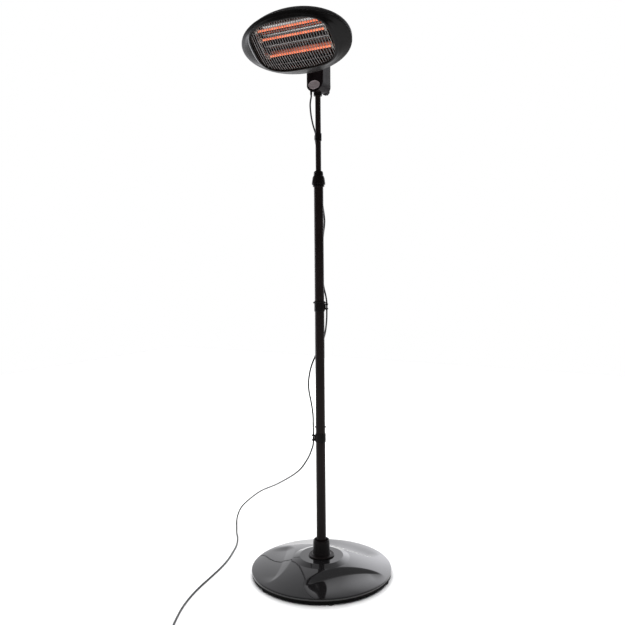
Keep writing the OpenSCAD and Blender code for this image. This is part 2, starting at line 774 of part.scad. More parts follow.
module grille_wires() {
  count = floor((open_a - 8) / wire_pitch);
  color([0.8, 0.8, 0.78]) on_head() for (i = [-count : count]) let (x = i * wire_pitch)
    translate([x, 0, grille_z])
      bowed_wire(grille_half(x), grille_crown * (1 - pow(abs(x) / open_a, open_e)));
}

// Two cross bars under the wires, bowed with them
module grille_bars() {
  across = pow(abs(bar_y) / (open_b - 5), open_e);
  half = (open_a - 5.4) * pow(1 - across, 1 / open_e);
  middle = grille_z + grille_crown * (1 - pow(bar_y / grille_half(0), 2)) - 2 * wire_r - 0.1;
  ends = grille_z - 1.6;
  color([0.8, 0.8, 0.78]) on_head() for (y = [-bar_y, bar_y])
    translate([0, y, ends]) rotate([0, 0, 90]) bowed_wire(half, middle - ends);
}

module thermal_cutout() {
  color([0.7, 0.7, 0.7]) on_head() translate([50, 0, -52]) union() {
    cylinder(r = 8, h = 5.8, $fn = 32);
    translate([-12, -4, 0]) cube([24, 8, 1.5]);
  }
}

// ---------------------------------------------------------------- mains cord

module cord_upper() {
  color([0.04, 0.04, 0.04]) rotate([0, 0, lay_turn]) tube_along(smooth(upper_route, 2), cord_r);
}

module cord_lower() {
  color([0.04, 0.04, 0.04]) rotate([0, 0, lay_turn]) tube_along(smooth(lower_route, 1), cord_r);
}

module plug_body() {
  color([0.04, 0.04, 0.04]) rotate([0, 0, lay_turn]) translate(plug_start) rotate([90, 0, 0]) {
    cylinder(r1 = 4, r2 = 6, h = 26, $fn = 32);
    translate([0, 0, 26]) cylinder(r1 = 11, r2 = 15, h = 16);
    translate([0, 0, 42]) cylinder(r = plug_r - 0.2, h = 16);
  }
}

module plug_pins() {
  color([0.8, 0.75, 0.6]) rotate([0, 0, lay_turn]) translate(plug_start) rotate([90, 0, 0])
    for (x = [-9.5, 9.5]) translate([x, 0, 58]) cylinder(r = 2.4, h = 19, $fn = 32);
}

// ---------------------------------------------------------------- assembly

base_cover();
base_plate();
base_weight();
base_spacer();
base_feet();
base_bolt();
base_nut();
base_spigot();
pole_socket();
pole_lower();
pole_middle();
pole_upper();
joint_spigots();
coupling_lower();
coupling_upper();
joint_screws();
cord_clip_lower();
cord_clip_upper();
clamp_body();
clamp_ring();
guide_bush();
mast_tube();
mast_guide();
mast_clip();
housing_socket();
housing_front();
housing_rear();
housing_screws();
badge();
strain_relief();
housing_lead();
terminal_block();
tip_switch();
switch_body();
switch_knob();
lock_stem();
lock_knob();
pivot_bolt();
pivot_nut();
pivot_spacer();
tilt_washers();
tilt_yoke();
yoke_screws();
head_shell();
bezel();
inner_tray();
reflector();
tube_brackets();
quartz_tubes();
heating_coils();
tube_caps();
grille_frame();
grille_wires();
grille_bars();
thermal_cutout();
cord_upper();
cord_lower();
plug_body();
plug_pins();
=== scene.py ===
"""Looks of a free-standing quartz patio heater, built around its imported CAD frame. Metres, +Z up."""
from math import cos, floor, pi, radians, sin, sqrt

import bmesh
import bpy
from mathutils import Matrix, Vector


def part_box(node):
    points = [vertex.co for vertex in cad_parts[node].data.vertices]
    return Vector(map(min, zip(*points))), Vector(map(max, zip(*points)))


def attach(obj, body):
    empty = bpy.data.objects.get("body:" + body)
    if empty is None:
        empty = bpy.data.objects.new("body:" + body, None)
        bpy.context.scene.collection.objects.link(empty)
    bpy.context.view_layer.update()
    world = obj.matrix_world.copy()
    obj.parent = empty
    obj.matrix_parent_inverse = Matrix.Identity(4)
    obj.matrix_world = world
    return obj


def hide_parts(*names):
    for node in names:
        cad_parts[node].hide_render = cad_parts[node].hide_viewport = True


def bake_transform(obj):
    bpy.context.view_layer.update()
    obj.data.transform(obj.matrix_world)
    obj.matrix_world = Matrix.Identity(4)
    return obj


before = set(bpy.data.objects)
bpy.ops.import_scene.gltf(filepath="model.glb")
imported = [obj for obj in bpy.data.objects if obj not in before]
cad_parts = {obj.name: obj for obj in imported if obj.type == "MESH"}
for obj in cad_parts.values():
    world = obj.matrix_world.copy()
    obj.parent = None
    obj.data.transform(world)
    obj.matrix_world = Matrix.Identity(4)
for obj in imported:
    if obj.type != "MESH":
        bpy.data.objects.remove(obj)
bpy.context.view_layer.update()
MM = 0.001

# ------------------------------------------------------------------ camera
VIEW_TURN = radians(29)        # the camera stands this far round from the head's forward line
VIEW_DISTANCE = 2.5
VIEW_HEIGHT = 1.11
VIEW_LENS = 40.04
VIEW_ROLL = radians(-0.455)
VIEW_SHIFT = (-0.0107, -0.0786)


def make_camera():
    camera = bpy.data.objects.new("camera", bpy.data.cameras.new("camera"))
    bpy.context.scene.collection.objects.link(camera)
    camera.data.sensor_width = 36
    camera.data.lens = VIEW_LENS
    camera.data.shift_x, camera.data.shift_y = VIEW_SHIFT
    camera.data.clip_end = 200
    place = Matrix.Translation((VIEW_DISTANCE * sin(VIEW_TURN), -VIEW_DISTANCE * cos(VIEW_TURN), VIEW_HEIGHT))
    turn = Matrix.Rotation(VIEW_TURN, 4, "Z") @ Matrix.Rotation(radians(90), 4, "X")
    camera.matrix_world = place @ turn @ Matrix.Rotation(VIEW_ROLL, 4, "Z")
    bpy.context.scene.camera = camera


make_camera()


# ------------------------------------------------------------------ mesh helpers
def add_object(name, mesh, body, replaces=()):
    """Links a finished mesh, puts it under its CAD body and hides the CAD nodes it replaces."""
    piece = bpy.data.objects.new(name, mesh)
    bpy.context.scene.collection.objects.link(piece)
    if body:
        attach(piece, body)
    if replaces:
        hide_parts(*replaces)
    return piece


def shade(mesh, angle=32):
    """Smooth shading that keeps edges sharper than the angle."""
    mesh.polygons.foreach_set("use_smooth", [True] * len(mesh.polygons))
    mesh.set_sharp_from_angle(angle=radians(angle))


def mesh_from(name, points, faces, angle=32):
    """A mesh from points in metres, its faces turned outwards."""
    mesh = bpy.data.meshes.new(name)
    mesh.from_pydata([tuple(p) for p in points], [], faces)
    work = bmesh.new()
    work.from_mesh(mesh)
    bmesh.ops.recalc_face_normals(work, faces=work.faces)
    work.to_mesh(mesh)
    work.free()
    shade(mesh, angle)
    return mesh


def loft_faces(count, rings, looped, start=0):
    """Quads between rings of points, with flat ends unless the last ring joins the first."""
    faces = []
    for k in range(rings if looped else rings - 1):
        a, b = start + k * count, start + (k + 1) % rings * count
        faces += [(a + i, b + i, b + (i + 1) % count, a + (i + 1) % count) for i in range(count)]
    if not looped:
        last = start + (rings - 1) * count
        faces += [tuple(start + i for i in reversed(range(count))), tuple(last + i for i in range(count))]
    return faces


def loft(name, rings, looped=False, angle=32, place=None):
    """A surface through rings of points, with flat ends unless the last ring joins the first."""
    points = [p for ring in rings for p in ring]
    if place:
        points = [place @ Vector(p) for p in points]
    return mesh_from(name, points, loft_faces(len(rings[0]), len(rings), looped), angle)


def soften(rows, cut, steps=4):
    """Rounds the inner corners of a chain of rows of numbers, each by at most cut."""
    rows = [Vector(r) for r in rows]
    made = [rows[0]]
    for before, here, after in zip(rows, rows[1:], rows[2:]):
        start = here + (before - here) * min(cut / max((before - here).length, cut), 0.45)
        end = here + (after - here) * min(cut / max((after - here).length, cut), 0.45)
        for k in range(steps + 1):
            t = k / steps
            made.append(start * (1 - t) ** 2 + here * (2 * t * (1 - t)) + end * t * t)
    return made + [rows[-1]]


def lathe(name, profile, cut=0.6, sides=96, axis=(0, 0), wave=None):
    """A closed ring turned about a vertical axis from its outline in mm, rows of (radius, height)."""
    closed = soften(list(profile) + [profile[0]], cut)[:-1]
    rings = []
    for radius, height in closed:
        ring = []
        for i in range(sides):
            turn = 2 * pi * i / sides
            r = radius + (wave(radius, height, turn) if wave else 0)
            ring.append(((axis[0] + r * cos(turn)) * MM, (axis[1] + r * sin(turn)) * MM, height * MM))
        rings.append(ring)
    return loft(name, rings, looped=True)


def catmull(points, steps):
    """Smooth curve through the points."""
    points = [Vector(p) for p in points]
    last = len(points) - 1
    made = []
    for i in range(last):
        a, b, c, d = points[max(i - 1, 0)], points[i], points[i + 1], points[min(i + 2, last)]
        for k in range(steps):
            t = k / steps
            made.append(0.5 * (2 * b + (c - a) * t + (2 * a - 5 * b + 4 * c - d) * t * t
                               + (3 * b - a - 3 * c + d) * t ** 3))
    return made + [points[last]]


def sweep(path, radius, sides=12):
    """Rings of points round a path, without twist. radius is one number or one for each point."""
    side = Vector((1, 0, 0))
    rings = []
    last = len(path) - 1
    for i, here in enumerate(path):
        along = (path[min(i + 1, last)] - path[max(i - 1, 0)]).normalized()
        side = (side - along * side.dot(along)).normalized()
        up = along.cross(side)
        r = radius[i] if isinstance(radius, list) else radius
        rings.append([here + (side * cos(2 * pi * k / sides) + up * sin(2 * pi * k / sides)) * r
                      for k in range(sides)])
    return rings


def sweeps(name, paths, radius, sides=12, angle=60):
    """One mesh of several swept rods."""
    points, faces = [], []
    for path in paths:
        rings = sweep(path, radius, sides)
        faces += loft_faces(sides, len(rings), False, len(points))
        points += [p for ring in rings for p in ring]
    return mesh_from(name, points, faces, angle)


def oval(a, b, e, z, drop=0, count=192):
    """Ring of points on a superellipse with half axes a and b, its middle drop below y = 0. Sizes in mm."""
    ring = []
    for i in range(count):
        c, s = cos(2 * pi * i / count), sin(2 * pi * i / count)
        reach = (abs(c) ** e + abs(s) ** e) ** (-1 / e)
        ring.append(Vector((a * c * reach, b * s * reach - drop, z)) * MM)
    return ring


def ovals(name, rows, looped=True, cut=2.0, angle=32, place=None):
    """A loft through superellipses given as rows of (a, b, exponent, height) or with a drop too, in mm."""
    if looped:
        rows = list(rows) + [rows[0]]
    soft = soften(rows, cut)
    if looped:
        soft = soft[:-1]
    return loft(name, [oval(*row) for row in soft], looped, angle, place)


# ------------------------------------------------------------------ materials
def wire(tree, source, target):
    tree.links.new(source, target)


def object_noise(tree, scale, detail=4.0, stretch=(1, 1, 1)):
    """Noise fixed to the object, with scale in cells per metre."""
    place = tree.nodes.new("ShaderNodeTexCoord")
    stretched = tree.nodes.new("ShaderNodeMapping")
    stretched.inputs["Scale"].default_value = stretch
    field = tree.nodes.new("ShaderNodeTexNoise")
    field.inputs["Scale"].default_value = scale
    field.inputs["Detail"].default_value = detail
    wire(tree, place.outputs["Object"], stretched.inputs["Vector"])
    wire(tree, stretched.outputs["Vector"], field.inputs["Vector"])
    return field.outputs["Fac"]


def ramp(tree, source, stops):
    """Colours by place along a 0 to 1 value, as rows of (place, colour)."""
    node = tree.nodes.new("ShaderNodeValToRGB")
    elements = node.color_ramp.elements
    while len(elements) < len(stops):
        elements.new(0.5)
    for element, (place, colour) in zip(elements, stops):
        element.position = place
        element.color = (*colour, 1)
    wire(tree, source, node.inputs["Fac"])
    return node.outputs["Color"]


def spread(tree, source, low, high):
    """Maps the middle of a noise field to low and high."""
    node = tree.nodes.new("ShaderNodeMapRange")
    node.inputs["From Min"].default_value = 0.3
    node.inputs["From Max"].default_value = 0.7
    node.inputs["To Min"].default_value = low
    node.inputs["To Max"].default_value = high
    wire(tree, source, node.inputs["Value"])
    return node.outputs["Result"]


def finish_material(name, dark, light, rough, metallic=0.0, specular=0.5, patch=9.0, grain=900.0,
                    bump=0.15, depth=0.0001, stretch=(1, 1, 1), coat=0.0, glow=None):
    """A surface whose colour and gloss drift between two tones in patches, with a fine grain in height.
    rough is (smoothest, roughest); glow is (colour, strength)."""
    made = bpy.data.materials.new(name)
    made.use_nodes = True
    tree = made.node_tree
    shader = tree.nodes["Principled BSDF"]
    shader.inputs["Metallic"].default_value = metallic
    shader.inputs["Specular IOR Level"].default_value = specular
    if coat:
        shader.inputs["Coat Weight"].default_value = coat
        shader.inputs["Coat Roughness"].default_value = 0.06
    patches = object_noise(tree, patch, 5.0, stretch)
    fine = object_noise(tree, grain, 2.0, stretch)
    wire(tree, ramp(tree, patches, [(0.3, dark), (0.7, light)]), shader.inputs["Base Color"])
    wire(tree, spread(tree, patches, *rough), shader.inputs["Roughness"])
    lift = tree.nodes.new("ShaderNodeBump")
    lift.inputs["Strength"].default_value = bump
    lift.inputs["Distance"].default_value = depth
    wire(tree, fine, lift.inputs["Height"])
    wire(tree, lift.outputs["Normal"], shader.inputs["Normal"])
    if glow:
        colour, strength = glow
        cooler = tuple(c * k for c, k in zip(colour, (0.85, 0.6, 0.5)))
        wire(tree, ramp(tree, patches, [(0.35, cooler), (0.65, colour)]), shader.inputs["Emission Color"])
        shader.inputs["Emission Strength"].default_value = strength
    return made


GLOSS_BLACK = finish_material("gloss_black", (0.005, 0.0048, 0.0052), (0.009, 0.0085, 0.009), (0.045, 0.09),
                              specular=0.55, patch=6, grain=160, bump=0.05, depth=0.0001)
EDGE_BLACK = finish_material("edge_black", (0.002, 0.002, 0.002), (0.004, 0.004, 0.004), (0.6, 0.75),
                             specular=0.08, grain=1500, bump=0.2)
POLE_BLACK = finish_material("pole_coat", (0.01, 0.0068, 0.0064), (0.017, 0.012, 0.0115), (0.36, 0.46),
                             specular=0.1, patch=14, grain=1400, bump=0.25, depth=0.00006, stretch=(1, 1, 0.4))
SATIN_BLACK = finish_material("satin_moulding", (0.006, 0.0048, 0.0048), (0.011, 0.009, 0.009), (0.28, 0.4),
                              specular=0.08, patch=30, grain=1800, bump=0.3, depth=0.00005)
HEAD_BLACK = finish_material("head_coat", (0.0026, 0.0022, 0.0021), (0.005, 0.0042, 0.004), (0.3, 0.38),
                             specular=0.22, patch=12, grain=2200, bump=0.35, depth=0.00005)
SHELL_BLACK = finish_material("shell_coat", (0.0024, 0.002, 0.002), (0.0045, 0.004, 0.004), (0.5, 0.6),
                              specular=0.07, patch=12, grain=2200, bump=0.3, depth=0.00005)
HOUSING_BLACK = finish_material("housing_moulding", (0.0065, 0.0045, 0.005), (0.012, 0.0085, 0.0095),
                                (0.34, 0.44), specular=0.07, patch=40, grain=2400, bump=0.45, depth=0.00006)
# painted shade: near-black brown standing in for the unlit inside of the head behind the tubes
INSIDE_SHADE_BLACK = finish_material("inside_painted_shade", (0.012, 0.009, 0.007), (0.028, 0.021, 0.017), (0.45, 0.65),
                             specular=0.4, patch=40, grain=900, bump=0.4)
RUBBER = finish_material("rubber", (0.007, 0.007, 0.007), (0.016, 0.015, 0.015), (0.6, 0.8),
                         specular=0.3, patch=80, grain=2500, bump=0.5)
CORD_BLACK = finish_material("cord_sheath", (0.004, 0.004, 0.004), (0.009, 0.0085, 0.0085), (0.35, 0.5),
                             specular=0.4, patch=60, grain=1600, bump=0.2)
ZINC = finish_material("zinc_plate", (0.36, 0.36, 0.35), (0.62, 0.61, 0.58), (0.25, 0.42),
                       metallic=1.0, patch=120, grain=1500, bump=0.2)
IRON = finish_material("cast_iron", (0.05, 0.048, 0.045), (0.14, 0.13, 0.12), (0.6, 0.85),
                       metallic=0.6, patch=60, grain=700, bump=0.6, depth=0.0004)
NYLON = finish_material("nylon", (0.62, 0.6, 0.54), (0.76, 0.74, 0.68), (0.4, 0.55), patch=60, bump=0.1)
CERAMIC = finish_material("ceramic", (0.55, 0.5, 0.42), (0.8, 0.77, 0.69), (0.6, 0.8),
                          patch=220, grain=900, bump=0.35)
# painted shade: dark metal for the reflector's unlit bands, between its painted bright and red bands
REFLECTOR_SHADE = finish_material("reflector_painted_shade", (0.05, 0.045, 0.042), (0.12, 0.105, 0.098), (0.12, 0.25),
                            metallic=1.0, patch=9, grain=260, bump=0.3, depth=0.0002, stretch=(1, 3, 3))
# painted reflection: light, smooth metal for the bright bands across the reflector
PAINTED_REFLECTION = finish_material("reflector_painted_reflection", (0.34, 0.32, 0.31), (0.66, 0.64, 0.62), (0.06, 0.16),
                           metallic=1.0, patch=50, grain=260, bump=0.35, depth=0.0004, stretch=(0.12, 1, 1))
# painted glow: red metal with its own emission, standing in for the tubes' light falling on the reflector
PAINTED_TUBE_GLOW = finish_material("reflector_painted_tube_glow", (0.22, 0.07, 0.045), (0.42, 0.14, 0.09), (0.1, 0.22),
                           metallic=1.0, patch=30, grain=260, bump=0.3, depth=0.0002,
                           glow=((0.6, 0.14, 0.08), 0.22))
WIRE_STEEL = finish_material("wire_steel", (0.14, 0.135, 0.135), (0.27, 0.26, 0.26), (0.22, 0.36),
                             metallic=0.95, patch=90, grain=1200, bump=0.2)
BADGE_SILVER = finish_material("badge_silver", (0.4, 0.34, 0.35), (0.56, 0.48, 0.49), (0.35, 0.5),
                               metallic=0.55, patch=260, grain=1600, bump=0.35, stretch=(0.15, 1, 1))
BRASS = finish_material("brass", (0.5, 0.38, 0.16), (0.78, 0.62, 0.32), (0.2, 0.35), metallic=1.0, patch=150)
QUARTZ = finish_material("quartz_glow", (0.8, 0.5, 0.4), (0.95, 0.65, 0.55), (0.1, 0.2), patch=35, grain=500,
                         bump=0.1, glow=((0.62, 0.17, 0.1), 0.62))
QUARTZ.node_tree.nodes["Principled BSDF"].inputs["Transmission Weight"].default_value = 0.5
COIL = finish_material("coil_glow", (0.6, 0.1, 0.03), (0.9, 0.3, 0.1), (0.5, 0.7), patch=60,
                       glow=((0.9, 0.34, 0.2), 0.9))


def cover(piece, *materials):
    """Puts materials on a piece, in the order of its faces' material numbers."""
    numbers = [min(face.material_index, len(materials) - 1) for face in piece.data.polygons]
    piece.data.materials.clear()
    for m in materials:
        piece.data.materials.append(m)
    piece.data.polygons.foreach_set("material_index", numbers)
    return piece


# ------------------------------------------------------------------ base
BASE_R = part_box("base_cover")[1].x / MM
PLATEAU_R, PLATEAU_Z = 78, 62
DOME_IN, DOME_OUT = (101, 54.5), (247, 22.2)    # (radius, height) where the wide dome begins and ends
RIM_Z = 14.5                   # below this the rim is a plain black band
RIB_START, RIB_END = Vector((37, -192)), Vector((235, 21))
RIB_SPAN = (RIB_END - RIB_START).length
RIB_ALONG = (RIB_END - RIB_START).normalized()
RIB_INWARD = Vector((-RIB_ALONG.y, RIB_ALONG.x))
RIB_INNER, RIB_OUTER = 60, 33  # bows of a step's high and low edges from the line of its tips, before the
RIB_SKEW = 0.4                 # low edge is drawn in by up to twice this share, most at the step's start
RIB_SLOPE = 0.2
RIB_FADE = 45                  # each step grows to its full depth over this length from its tips
HOLLOW_R = 246                 # the hollow outside a step has run out at this radius


def cover_height(r):
    """Height of the base's plain turned surface, in mm, at a radius."""
    if r <= PLATEAU_R:
        return PLATEAU_Z
    if r <= DOME_IN[0]:
        return PLATEAU_Z - (r - PLATEAU_R) * (PLATEAU_Z - DOME_IN[1]) / (DOME_IN[0] - PLATEAU_R)
    t = (r - DOME_IN[0]) / (DOME_OUT[0] - DOME_IN[0])
    return DOME_IN[1] - (DOME_IN[1] - DOME_OUT[1]) * (0.84 * t + 0.16 * t * t)


def eased(u, w=0.14):
    """A straight ramp from 0 to 1 with its first and last w rounded off."""
    if u < w:
        part = u * u / (2 * w)
    elif u > 1 - w:
        part = 1 - w - (1 - u) ** 2 / (2 * w)
    else:
        part = u - w / 2
    return part / (1 - w)


def rib_dip(point):
    """How far one crescent-shaped step sinks the surface below the plain dome at a plan point."""
    s = (point - RIB_START).dot(RIB_ALONG)
    n = (point - RIB_START).dot(RIB_INWARD)
    if not 0 < s < RIB_SPAN:
        return 0
    q = 2 * s / RIB_SPAN - 1
    arc = sqrt(1 - q * q)
    inner, outer = RIB_INNER * arc, RIB_OUTER * arc * (1 - RIB_SKEW + RIB_SKEW * q)
    drop = RIB_SLOPE * (inner - outer) * sin(pi / 2 * min(1, s / RIB_FADE, (RIB_SPAN - s) / RIB_FADE))
    if n >= inner:
        return 0
    if n >= outer:
        return drop * eased((inner - n) / (inner - outer))
    foot = RIB_START + RIB_ALONG * s
    across = foot.dot(RIB_INWARD)
    rim = -across - sqrt(max(0, across * across - foot.length_squared + HOLLOW_R ** 2))
    return drop * (0.5 + 0.5 * cos(pi * min(1, (outer - n) / max(outer - rim, 1))))


def swirl_dip(x, y):
    """The dips of the three steps, a third of a turn apart, added up."""
    return sum(rib_dip(Matrix.Rotation(radians(-120 * k), 2) @ Vector((x, y))) for k in range(3))


def make_base():
    """The glossy dome with its three crescent steps, closed underneath; the rim's band is dull black."""
    sides = 480
    radii = [6, 30, 46, 60, 72, 76, 77.4, 78, 78.6, 80, 84, 90, 96, 99, 100.4, 101, 101.6, 103]
    radii += [105 + 2 * i for i in range(71)]
    rings = []
    for r in radii:
        ring = []
        for i in range(sides):
            x, y = r * cos(2 * pi * i / sides), r * sin(2 * pi * i / sides)
            dip = swirl_dip(x, y) if r > DOME_IN[0] - 2 else 0
            ring.append(Vector((x, y, cover_height(r) - dip)) * MM)
        rings.append(ring)
    edge = [DOME_OUT, (BASE_R, 21), (BASE_R, RIM_Z + 0.6), (BASE_R - 2, RIM_Z),
            (BASE_R - 1.6, 6), (BASE_R - 3, 5.2), (BASE_R - 5, 7)]
    underside = [(BASE_R - 9, 15.5), (150, 33), (100, 44), (76, 57), (6, 58)]
    for row in soften(edge + underside, 1.4)[1:]:
        rings.append([Vector((row.x * cos(2 * pi * i / sides), row.x * sin(2 * pi * i / sides), row.y)) * MM
                      for i in range(sides)])
    mesh = loft("base_dome", rings, looped=True, angle=40)
    for face in mesh.polygons:
        face.material_index = 1 if face.center.z < RIM_Z * MM else 0
    dome = add_object("base_dome", mesh, "stand", ["base_cover"])
    cover(dome, GLOSS_BLACK, EDGE_BLACK)


def make_socket():
    """The open-topped cup that takes the pole, on its flange."""
    bore, low = 17.3, PLATEAU_Z
    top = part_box("pole_socket")[1].z / MM
    mesh = lathe("pole_cup", [
        (bore, low), (46.5, low), (46.5, low + 3.2), (44.8, low + 4.6), (42.6, low + 4.9), (41.2, low + 4.2),
        (33.5, low + 4.6), (31.2, low + 8.5), (30.4, low + 22), (29.3, top - 7), (28.6, top - 2), (26.6, top),
        (24.8, top - 0.6), (21.6, top - 7), (19.4, top - 14), (bore, top - 15)], 1.2)
    cover(add_object("pole_cup", mesh, "stand", ["pole_socket"]), SATIN_BLACK)


# ------------------------------------------------------------------ pole
COLLAR_BORE = 17.05            # just clear of the pole


def make_couplings():
    """Collars over the pole's joints, each with two raised bands."""
    for name, bands in (("coupling_lower", (5, 26)), ("coupling_upper", (5, 33))):
        low, high = (corner.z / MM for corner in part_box(name))
        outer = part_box(name)[1].x / MM
        profile = [(COLLAR_BORE, low), (outer - 1, low), (outer, low + 1.2)]
        for band in bands:
            at = low + band
            profile += [(outer, at - 2.2), (outer - 0.7, at - 1.6), (outer - 0.7, at - 1), (outer, at - 0.4)]
        profile += [(outer, high - 1.2), (outer - 1, high), (COLLAR_BORE, high)]
        mesh = lathe(name + "_collar", profile, 0.4)
        cover(add_object(name + "_collar", mesh, "stand", [name]), SATIN_BLACK)


def make_clamp():
    """The chamfered collar of the telescopic clamp, and its ribbed twist ring."""
    low, high = (corner.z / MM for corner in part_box("clamp_body"))
    slim, seat = 10.3, 18.2
    body = [(COLLAR_BORE, low), (20.4, low), (21, low + 0.8), (21, low + 7), (seat, low + 7),
            (seat, low + 36.8), (19.6, low + 36.8), (19.6, low + 38), (17.7, low + 39.4),
            (17.4, low + 44), (16.6, low + 53),
            (15.6, low + 54.6), (13.2, high), (slim, high), (slim, low + 15.2), (COLLAR_BORE, low + 15.2)]
    collar = lathe("clamp_collar", body, 0.8)
    cover(add_object("clamp_collar", collar, "stand", ["clamp_body"]), SATIN_BLACK)
    low, high = (corner.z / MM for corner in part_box("clamp_ring"))
    wide, top, inner = 24.5, 21.2, seat + 0.4

    def flare(t):
        return wide - 0.2 - (wide - 0.2 - top) * t

    def grips(radius, height, turn):
        inside = radius > inner + 1 and low + 5 < height < high - 3
        return -0.7 * max(0, cos(24 * turn)) ** 0.5 if inside else 0

    profile = [(inner, low), (wide - 0.6, low), (wide, low + 1), (wide, low + 3)]
    profile += [(flare(k / 9), low + 5 + k * 2.35) for k in range(10)] + [(top - 0.8, high), (inner, high)]
    mesh = lathe("clamp_grip", profile, 0.3, 240, wave=grips)
    cover(add_object("clamp_grip", mesh, "grip_ring", ["clamp_ring"]), SATIN_BLACK)


# ------------------------------------------------------------------ cords
LAY_TURN = Matrix.Rotation(VIEW_TURN, 4, "Z")
UPPER_ROUTE = [
    (-24, 2, 1715.5), (-24, 2, 1709), (-27.5, 1, 1688), (-27.5, 2, 1668), (-24.5, 4, 1640),
    (-19, 8, 1612), (-12.5, 12, 1590), (-9, 13, 1577), (-9, 13, 1564.5)]
LOWER_ROUTE = [
    (-9, 13, 1563.5), (-9, 13, 1550), (-4, 20, 1518), (1, 28, 1474), (5, 31, 1418), (9, 29, 1365),
    (15, 22, 1315), (20, 13, 1275), (20, 13, 1250), (15, 19, 1210), (10, 23, 1150), (10, 23, 1085),
    (15, 20, 1030), (23, 8, 992), (26, 0, 968), (26, 0, 942), (25, 6, 905), (20, 16, 862),
    (9, 26, 822), (-6, 28, 792), (-20, 21, 766), (-31, 12, 740), (-38, 6, 712), (-42, 4, 680),
    (-40, 3, 648), (-33, 1, 612), (-27, 0, 570), (-26, 0, 530), (-26, 0, 470), (-31, 6, 443),
    (-50, 32, 395), (-88, 92, 333), (-172, 290, 228), (-254, 440, 150), (-314, 512, 88),
    (-345, 532, 53), (-359, 518, 29), (-362, 478, 12), (-356, 425, 4), (-348, 362, 3.2),
    (-338, 310, 3.2), (-334, 240, 3.2), (-340, 175, 3.2), (-349, 110, 3.2), (-366, 40, 3.2),
    (-394, -45, 3.2), (-426, -140, 3.2), (-448, -240, 3.2), (-456, -340, 3.2), (-455, -420, 3.2),
    (-453, -448, 6.5), (-452, -470, 13), (-452, -488, 18.6), (-452, -500, 18.6)]
CORD_R = 3 * MM
CORD_LOWEST = CORD_R + 0.05 * MM


def cord_path(route, steps=5):
    """The route's smooth curve in place, kept just clear of the floor."""
    points = [LAY_TURN @ (p * MM) for p in catmull(route, steps)]
    for p in points:
        p.z = max(p.z, CORD_LOWEST)
    return points


def make_cord(name, node, route, top_body, low_body, start, end, **facts):
    """A cord swept along its route, kept just clear of the floor, put under no body, with its CAD node hidden.
    top_body, low_body, start, end and the other facts are not used.
    """
    path = cord_path(route)
    mesh = sweeps(name, [path], CORD_R, 14)
    cord = cover(add_object(name, mesh, None, [node]), CORD_BLACK)
    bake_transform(cord)


def make_plug(start, along):
    """A moulded two-pin plug with a ribbed, tapered cord relief; local +Z runs to the pins."""
    place = Matrix.Translation(start) @ along.to_track_quat("Z", "Y").to_matrix().to_4x4()
    relief = [(3.1, 0), (4.2, 0), (4.6, 2)]
    for k in range(6):
        wide, slim, up = 4.5 + 0.28 * k, 4.5 + 0.28 * k - 0.9, 3.6 * k
        relief += [(wide, 3 + up), (wide, 4.8 + up), (slim, 5.4 + up), (slim, 6 + up)]
    body = [(6.6, 25), (9.8, 26.4), (11.6, 30), (13.8, 38), (15.6, 42), (18.2, 44), (18.4, 46), (18.4, 56),
            (17.6, 57.8), (2, 58), (2, 0.5)]

    def flats(radius, height, turn):
        grip = 28 < height < 42
        return -1.1 * abs(cos(turn)) ** 6 if grip and radius > 9 else 0

    mesh = lathe("plug_moulding", relief + body, 0.5, 96, wave=flats)
    mesh.transform(place)
    return cover(add_object("plug_moulding", mesh, "stand", ["plug_body"]), RUBBER)


def make_cords():
    """The lead in two lengths that meet at the mast's clip, and the plug on its far end."""
    make_cord("mains_cord_upper", "cord_upper", UPPER_ROUTE, "housing", "mast", start=1.7, end=1.585,
              far_end="object", stiffness="medium", lay="hanging", with_pieces=["strain_relief"])
    plug = make_plug(cord_path(LOWER_ROUTE)[-1], LAY_TURN @ Vector((0, -1, 0)))
    make_cord("mains_cord_lower", "cord_lower", LOWER_ROUTE, "mast", "stand", start=1.545, end=1.395,
              far_end="plug", stiffness="medium", lay="loose", with_pieces=[plug, "plug_pins"])


make_cords()


# ------------------------------------------------------------------ head
HEAD_MIDDLE = Vector((0, -161, 1864)) * MM
FACE_TURN = radians(138)       # the head's own +Z turned to where the face points
HEAD = Matrix.Translation(HEAD_MIDDLE) @ Matrix.Rotation(FACE_TURN, 4, "X")
HEAD_A, HEAD_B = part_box("head_shell")[1].x / MM + 3, 121
HEAD_DROP = 6                  # the outline sits this far below the middle of the opening
OPEN_A, OPEN_B, OPEN_E = 152, 93, 3.1
RIM_RISE = 24
SHELL_DEPTH = 62
TRAY_BACK = -46
TUBE_ROWS = (56, 22, -44)
TUBE_DEPTH = -8
TUBE_R = 6.5
TUBE_HALF = 136
COIL_HALF = 122
WIRE_PITCH = 9.8
WIRE_R = 1.2
GRILLE_Z = RIM_RISE - 4.9
GRILLE_CROWN = 15
BAR_Y = 62


